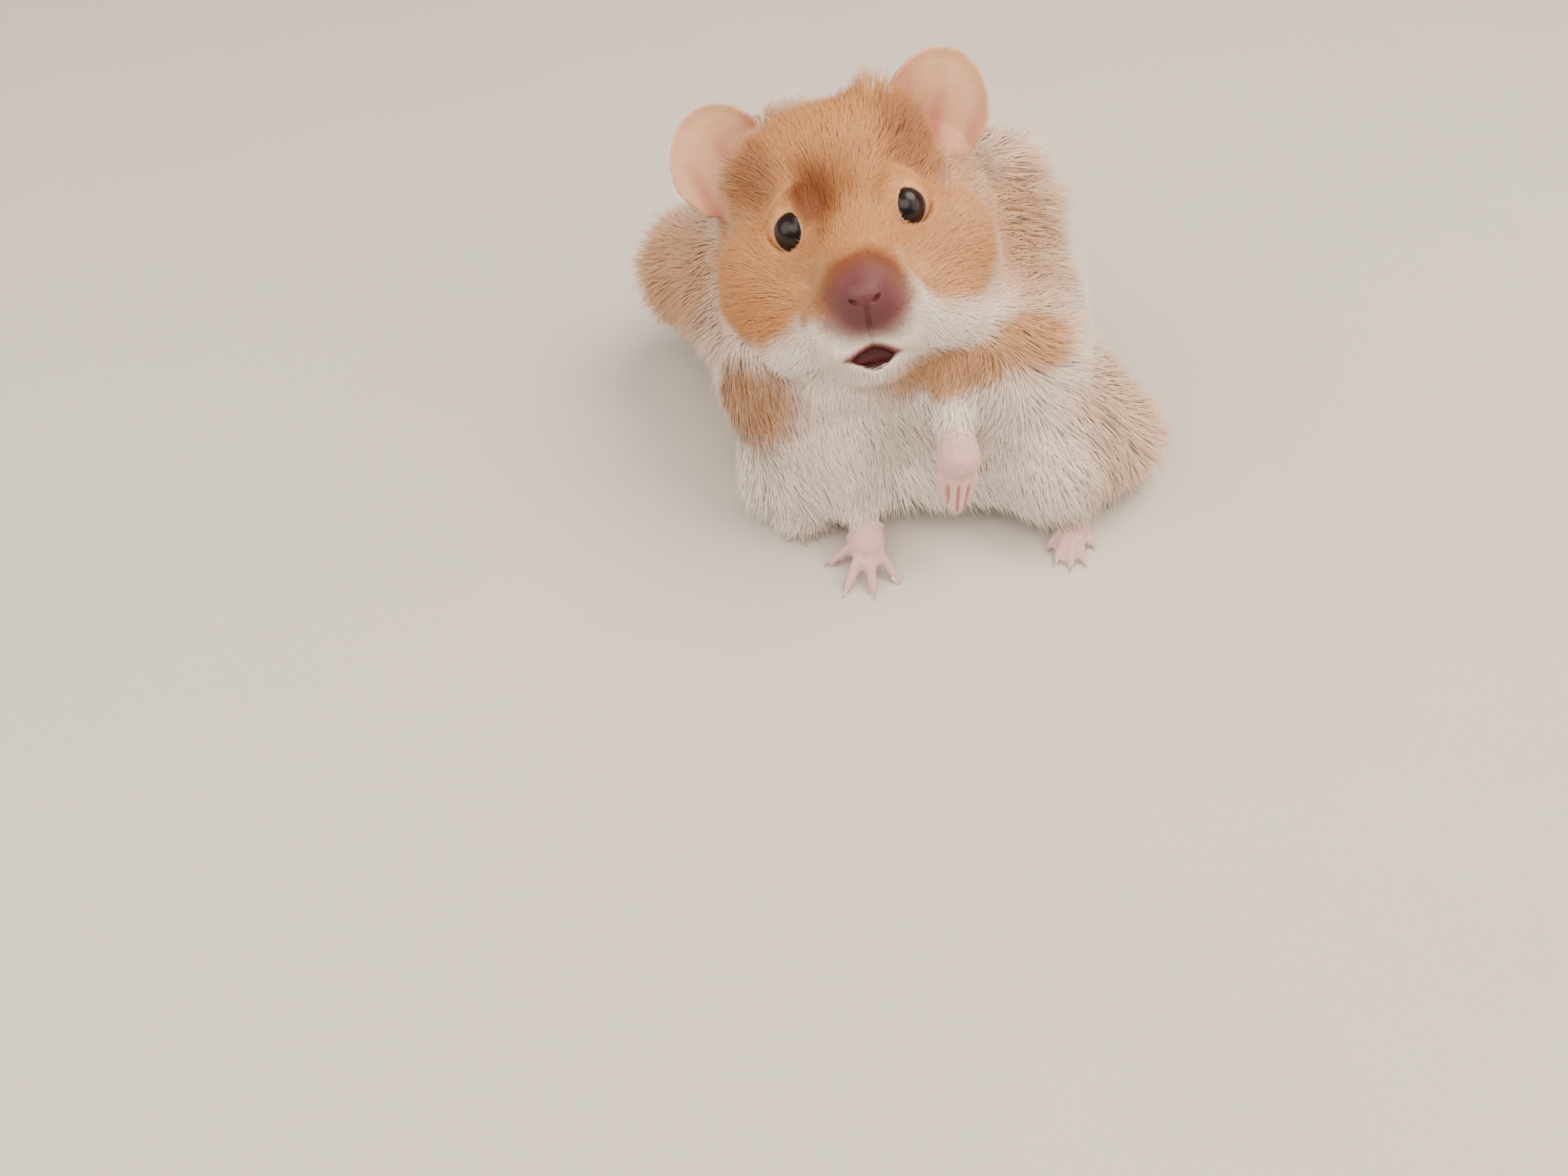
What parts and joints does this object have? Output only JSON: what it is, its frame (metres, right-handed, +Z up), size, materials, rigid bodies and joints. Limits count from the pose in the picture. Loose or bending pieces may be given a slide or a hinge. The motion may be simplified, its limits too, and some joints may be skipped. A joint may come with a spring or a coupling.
{
  "type": "syrian hamster model",
  "caption": "Still life-size model of a long-haired banded Syrian hamster that sits up on its haunches, one forepaw on the floor and the other hanging.",
  "frame": {"origin": "on the floor, below the middle of the model's box", "axes": "+Z up; the animal looks towards -Y and up, its rump lies towards +X, and its left side is on the +X side"},
  "size_m": [0.101, 0.0838, 0.0697],
  "materials": {
    "coat_gold": "long soft golden fur",
    "coat_white": "long soft white fur",
    "skin": "thin pink skin with sparse short hair",
    "eye": "wet black eye"
  },
  "bodies": {
    "root": {"head": "coat_gold", "neck": "coat_gold", "rump": "coat_gold", "trunk": "coat_white", "jaw": "coat_white", "foreleg_left": "coat_white", "foreleg_right": "coat_white", "thigh_left": "coat_white", "thigh_right": "coat_white", "nose": "skin", "ear_left": "skin", "ear_right": "skin", "forepaw_left": "skin", "forepaw_right": "skin", "hind_foot_left": "skin", "hind_foot_right": "skin", "tail": "skin", "eye_left": "eye", "eye_right": "eye"}
  },
  "joints": []
}
